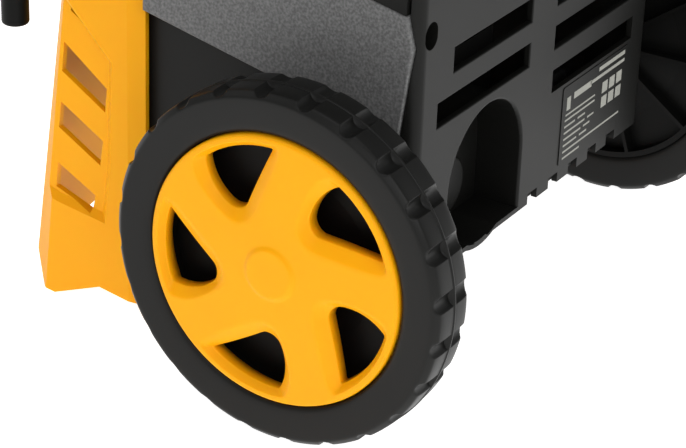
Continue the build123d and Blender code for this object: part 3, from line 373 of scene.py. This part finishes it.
cover = {
    "wallBack": -8.0,                                          # from the tyre's outer plane
    "dome": 1.2, "hubRise": 2.5,
    "openings": 5, "middle": 40.4,                             # direction of the first opening, degrees
    "ringRadius": 62.4, "hubRing": 15.0,                       # where the five sectors start and end
    "dish": 3.2, "dishCurve": 1.12,                            # fall of the bevel round each opening
    "counts": (36, 26, 14, 26),                                # outer arc, far side, tip, near side
    "wall": 2.4,
    # the opening about its middle direction, as arcs through three points
    "opening": [((54.8, -20.5), (59.0, 0.0), (56.3, 17.7)), ((56.3, 17.7), (45.5, 18.3), (33.0, 12.6)),
                ((33.0, 12.6), (30.6, 8.4), (31.6, 2.8)), ((31.6, 2.8), (42.2, -7.4), (54.8, -20.5))],
    "openingRound": 1.8,
    # the bevel's outer edge, as degrees and radii
    "bevel": [[(-25, 61.2), (-18, 61.4), (-9, 61.5), (0, 61.5), (9, 61.5), (16, 61.4), (22, 61.2)],
              [(22, 61.2), (25.6, 55), (27.2, 48), (27.4, 41), (26, 34), (22.5, 28)],
              [(22.5, 28), (16, 25.4), (9, 25.0), (1.5, 26), (-4, 28)],
              [(-4, 28), (-10, 31.5), (-16, 38), (-21, 45.5), (-24.5, 54), (-25, 61.2)]],
    "bevelRound": 6.0,
    # the opening's edge rolls over: how far each ring shrinks, as a share, and how far it drops
    "lip": [(0.012, 0.12), (0.022, 0.4), (0.026, 0.9)], "wallShrink": 0.05,
    # radius and height of the rings down the rim and over the hub's disc
    "rim": [(62.4, 0), (63.2, -0.12), (63.8, -0.4), (64.25, -0.9), (64.45, -1.6), (64.5, -2.6),
            (64.5, -7.5), (64.5, -13.4)],
    "hubRings": [15.0, 14.2, 13.5, 13.0, 12.5, 12.0, 11.5, 11.0, 10.2, 8.0, 5.0, 2.0, 0.0],
    "hubEdge": ([10.6, 11.4, 12.3, 13.2, 14.0], [1, 0.9, 0.5, 0.1, 0]),   # radius, share of the rise
}


# points on the circle through three points, from the first to the last
def arcThrough(a, b, c, count=160):
    (ax, ay), (bx, by), (cx, cy) = a, b, c
    d = 2 * (ax * (by - cy) + bx * (cy - ay) + cx * (ay - by))
    ux = ((ax**2 + ay**2) * (by - cy) + (bx**2 + by**2) * (cy - ay) + (cx**2 + cy**2) * (ay - by)) / d
    uy = ((ax**2 + ay**2) * (cx - bx) + (bx**2 + by**2) * (ax - cx) + (cx**2 + cy**2) * (bx - ax)) / d
    angles = np.unwrap([math.atan2(y - uy, x - ux) for x, y in (a, b, c)])
    run = np.linspace(angles[0], angles[2], count)
    radius = math.hypot(ax - ux, ay - uy)
    return np.stack([ux + radius * np.cos(run), uy + radius * np.sin(run)], axis=1)


# a closed outline from four runs of points: the corners are rounded by averaging each point
# with its neighbours along the outline, and each run then gets its own number of points
def roundedLoop(sides, counts, roundMm):
    runs = [np.asarray(side, float) for side in sides]
    loop = np.concatenate([run[:-1] for run in runs])
    closed = np.concatenate([loop, loop[:1]])
    length = np.concatenate([[0], np.cumsum(np.hypot(*np.diff(closed, axis=0).T))])
    corner = length[np.cumsum([0] + [len(run) - 1 for run in runs])]
    many = 2400    # even steps round the outline
    even = np.linspace(0, length[-1], many, endpoint=False)
    dense = np.stack([np.interp(even, length, closed[:, k]) for k in (0, 1)], axis=1)
    reach = max(1, int(roundMm / length[-1] * many))
    weights = np.hanning(2 * reach + 3)[1:-1]
    weights /= weights.sum()
    padded = np.concatenate([dense[-reach:], dense, dense[:reach]])
    soft = np.stack([np.convolve(padded[:, k], weights, "valid") for k in (0, 1)], axis=1)
    places = np.concatenate([np.linspace(start, end, count, endpoint=False)
                             for start, end, count in zip(corner, corner[1:], counts)])
    ring = np.concatenate([soft, soft[:1]])
    at = np.append(even, length[-1])
    return np.stack([np.interp(places, at, ring[:, k]) for k in (0, 1)], axis=1)


# points from (degrees, radius) pairs
def polarPoints(pairs):
    table = np.array(pairs, float)
    turn = np.radians(table[:, 0])
    return np.stack([table[:, 1] * np.cos(turn), table[:, 1] * np.sin(turn)], axis=1)


# height of the dome over the tyre's outer plane: a flat cone with a rounded rim
def coverHeight(radius):
    share = np.clip((cover["ringRadius"] - radius) / (cover["ringRadius"] - cover["hubRing"]), 0, 1)
    return cover["dome"] * share ** 0.9


# equal sectors, one for each opening; in each, rings of points run from the sector's own outline
# to the outer edge of the bevel, on to the opening's edge, and down the opening's wall
def addWheelCover(name, side, body):
    c = cover
    counts = c["counts"]
    edge = roundedLoop([arcThrough(*arc) for arc in c["opening"]], counts, c["openingRound"])
    dish = roundedLoop([polarPoints(run) for run in c["bevel"]], counts, c["bevelRound"])
    pitch = 360 / c["openings"]
    half = pitch / 2
    turnOut = np.linspace(-half, half, counts[0], endpoint=False)
    sideRun = np.linspace(c["ringRadius"], c["hubRing"], counts[1], endpoint=False)
    turnIn = np.linspace(half, -half, counts[2], endpoint=False)
    sector = polarPoints(np.concatenate([
        np.stack([turnOut, np.full(counts[0], c["ringRadius"])], 1),
        np.stack([np.full(counts[1], half), sideRun], 1),
        np.stack([turnIn, np.full(counts[2], c["hubRing"])], 1),
        np.stack([np.full(counts[3], -half), np.append(sideRun, c["hubRing"])[::-1][:-1]], 1),
    ]))
    rings, heights = [], []
    for share in np.linspace(0, 1, 7)[:-1]:
        ring = sector + (dish - sector) * share
        rings.append(ring)
        heights.append(coverHeight(np.hypot(*ring.T)))
    for share in np.linspace(0, 1, 9):
        ring = dish + (edge - dish) * share
        fall = c["dish"] * share ** c["dishCurve"]
        rings.append(ring)
        heights.append(coverHeight(np.hypot(*ring.T)) - fall)
    centre = edge.mean(axis=0)
    lip = heights[-1]
    for inset, drop in c["lip"]:
        rings.append(edge + (centre - edge) * inset)
        heights.append(lip - drop)
    rings.append(edge + (centre - edge) * c["wallShrink"])
    heights.append(np.full(len(edge), c["wallBack"]))
    ring, height = np.array(rings), np.array(heights)
    points, faces = [], []
    for index in range(c["openings"]):
        turn = math.radians(c["middle"] + pitch * index)
        across = ring[..., 0] * math.cos(turn) - ring[..., 1] * math.sin(turn)
        up = ring[..., 0] * math.sin(turn) + ring[..., 1] * math.cos(turn)
        faces.append(gridFaces(*height.shape, start=sum(len(p) for p in points)))
        points.append(wheelPoints(wheel["face"] + height, across, up, side).reshape(-1, 3))
    # rim: rings outside the sectors, rolled over and down the skirt
    turns = np.radians(c["middle"] - half + np.arange(c["openings"] * counts[0]) * pitch / counts[0])
    rim = np.array(c["rim"])
    faces.append(gridFaces(len(rim), len(turns), start=sum(len(p) for p in points))[:, ::-1])
    points.append(wheelPoints(wheel["face"] + rim[:, 1:] + 0 * turns, rim[:, :1] * np.cos(turns),
                              rim[:, :1] * np.sin(turns), side).reshape(-1, 3))
    # hub: a low disc with a soft edge
    turns = np.radians(c["middle"] - half + np.arange(c["openings"] * counts[2]) * pitch / counts[2])
    hubR = np.array(c["hubRings"])
    rise = np.interp(hubR, *c["hubEdge"])
    hubHeight = coverHeight(hubR) + (c["hubRise"] - c["dome"]) * rise
    faces.append(gridFaces(len(hubR), len(turns), start=sum(len(p) for p in points)))
    points.append(wheelPoints(wheel["face"] + hubHeight[:, None] + 0 * turns, hubR[:, None] * np.cos(turns),
                              hubR[:, None] * np.sin(turns), side).reshape(-1, 3))
    piece = meshPiece(name, np.concatenate(points), np.concatenate(faces), "yellow ABS, satin moulded",
                      body, (name.replace("coverSurface", "wheel_cover"),))
    solid = piece.modifiers.new("wall", "SOLIDIFY")
    solid.thickness, solid.offset = c["wall"] * mm, -1
    return piece


# millimetres; each points to the front, and its thread is cut below the CAD spigot's surface
connectors = {
    "inlet": {"x": 32.0, "front": -135.0, "radius": 13.2, "bore": 6.0, "pitch": 1.8, "depth": 0.9},
    "outlet": {"x": -32.0, "front": -131.0, "radius": 11.0, "bore": 2.0, "pitch": 1.5, "depth": 0.8},
}
connectorRoot = {
    "z": 108.0, "pumpFace": -70.0, "stubEnd": -59.2, "stubRadius": 7.9,
    "thread": 15.0, "boreDepth": 38.0,
    "collar": 3.0, "chamfer": 0.6,     # the collar's height over the thread, and its edge
}


# a profile is turned round the spigot's axis; over the thread its radius falls by a triangle
# wave of the height plus the turn, so the wave climbs one pitch in each turn
def addConnector(name, c):
    k = connectorRoot
    end = c["front"] + k["thread"]
    run = np.linspace(c["front"] + 0.9, end - 1.6, 61)
    front, radius, bevel = c["front"], c["radius"], k["chamfer"]
    back, collarR = k["pumpFace"] - 0.05, radius + k["collar"]
    profile = np.array(
        [(front + k["boreDepth"], 0.0), (front + k["boreDepth"], c["bore"]), (front + bevel, c["bore"]),
         (front, c["bore"] + bevel), (front, radius - 1.2), (front + 0.3, radius - 0.9)]
        + [(y, radius) for y in run]
        + [(end - 0.4, radius - c["depth"]), (end, radius - c["depth"]), (end, collarR - bevel),
           (end + bevel, collarR), (k["pumpFace"] - bevel, collarR), (back, collarR - bevel),
           (back, k["stubRadius"]), (k["stubEnd"], k["stubRadius"]), (k["stubEnd"], 0.0)])
    turns = np.linspace(0, 2 * np.pi, 96, endpoint=False)
    y, r = profile[:, :1], profile[:, 1:] + 0 * turns
    phase = np.mod(y / c["pitch"] + turns / (2 * np.pi), 1.0)
    tooth = np.clip(np.abs(2 * phase - 1) * 1.5 - 0.25, 0, 1) * c["depth"]
    fade = np.clip((y - c["front"]) / 1.5, 0, 1) * np.clip((end - 1.2 - y) / 1.5, 0, 1)
    threaded = (y >= run[0] - 0.01) & (y <= run[-1] + 0.01)
    r = r - np.where(threaded, c["depth"] + (tooth - c["depth"]) * fade, 0)
    points = np.stack([c["x"] + r * np.cos(turns), y + 0 * turns, k["z"] + r * np.sin(turns)], axis=-1) * mm
    return meshPiece(name, points, gridFaces(*r.shape), "brass, turned", "chassis",
                     (name.replace("Surface", "_connector"),))


# generic bars in place of print: left, right, top and bottom, millimetres from the plate's upper corner
platePrint = {
    "corner": (-26.0, 111.6), "face": 87.8, "thick": 0.06,
    "bars": [(4.5, 8.5, 6.5, 13.5), (12, 31, 6, 9.5), (39, 68, 2, 4.2), (30, 68, 6.4, 8.2),
             (4, 36, 15.4, 16.3), (3.5, 36, 18.2, 19.2), (3.5, 15, 21.6, 22.6), (18, 26, 21.6, 22.6),
             (3.5, 26, 25, 26), (29, 36, 25, 26), (3.5, 22, 28.4, 29.4), (25, 32, 28.4, 29.4),
             (3.5, 18, 31.8, 32.8), (21, 29, 31.8, 32.8), (3.5, 66, 35.2, 36.2), (3.5, 22, 38.6, 39.6),
             (44, 50, 12, 18), (52, 58, 12, 18), (60, 66, 12, 18),
             (44, 50, 20, 26), (52, 58, 20, 26), (60, 66, 20, 26)],
}


# a thin closed slab for each bar, standing a hair proud of the plate
def addPlatePrint(name):
    p = platePrint
    left, right, top, bottom = np.array(p["bars"], float).T
    x0, x1 = p["corner"][0] - left, p["corner"][0] - right
    z0, z1 = p["corner"][1] - bottom, p["corner"][1] - top
    y0, y1 = np.full_like(x0, p["face"]), np.full_like(x0, p["face"] + p["thick"])
    points = np.stack([np.stack(corner, -1) for corner in (
        (x0, y0, z0), (x1, y0, z0), (x1, y0, z1), (x0, y0, z1),
        (x0, y1, z0), (x1, y1, z0), (x1, y1, z1), (x0, y1, z1))], axis=1) * mm
    slab = np.array([(1, 2, 3, 0), (7, 6, 5, 4), (4, 5, 1, 0), (5, 6, 2, 1), (6, 7, 3, 2), (7, 4, 0, 3)])
    faces = (slab[None] + 8 * np.arange(len(x0))[:, None, None]).reshape(-1, 4)
    return meshPiece(name, points, faces, "pale grey plate ink", "chassis", (), smooth=False)


studio = {"floorHalf": 6.0, "paper": "#f4f4f2", "glow": "#ffffff", "glowPower": 0.95, "worldPower": 0.21}


# a wide sheet of paper, lit so that it stays white
def addFloor():
    side = studio["floorHalf"]
    corners = [(-side, -side, 0), (side, -side, 0), (side, side, 0), (-side, side, 0)]
    mesh = bpy.data.meshes.new("floor")
    mesh.from_pydata(corners, [], [(0, 1, 2, 3)])
    material, _, shader = newMaterial("white studio paper")
    shader.inputs["Base Color"].default_value = linear(studio["paper"])
    shader.inputs["Roughness"].default_value = 0.9
    shader.inputs["Emission Color"].default_value = linear(studio["glow"])
    shader.inputs["Emission Strength"].default_value = studio["glowPower"]
    mesh.materials.append(material)
    floor = bpy.data.objects.new("floor", mesh)
    bpy.context.scene.collection.objects.link(floor)


def addWorld():
    world = bpy.data.worlds.new("studio")
    world.use_nodes = True
    background = world.node_tree.nodes["Background"]
    background.inputs["Color"].default_value = linear(studio["glow"])
    background.inputs["Strength"].default_value = studio["worldPower"]
    bpy.context.scene.world = world
    bpy.context.scene.view_settings.view_transform = "Standard"


addCamera(cameraSet)
for name, s in lightSet.items():
    addLight(name, s)
addWorld()
addFloor()
print("camera, light and floor")

finishes = {name: mouldedPlastic(name, look) for name, look in plasticLooks.items()}
finishes.update({name: turnedMetal(name, look) for name, look in metalLooks.items()})
finishCadNodes(finishes)
print("materials")

for label, side in (("left", 1), ("right", -1)):
    addTyre(f"tyreSurface_{label}", side, f"wheel_{label}")
    addWheelCover(f"coverSurface_{label}", side, f"wheel_{label}")
print("wheels")

for label, spigot in connectors.items():
    addConnector(f"{label}Surface", spigot)
print("hose connectors")

addPlatePrint("platePrint")
print("rating plate")
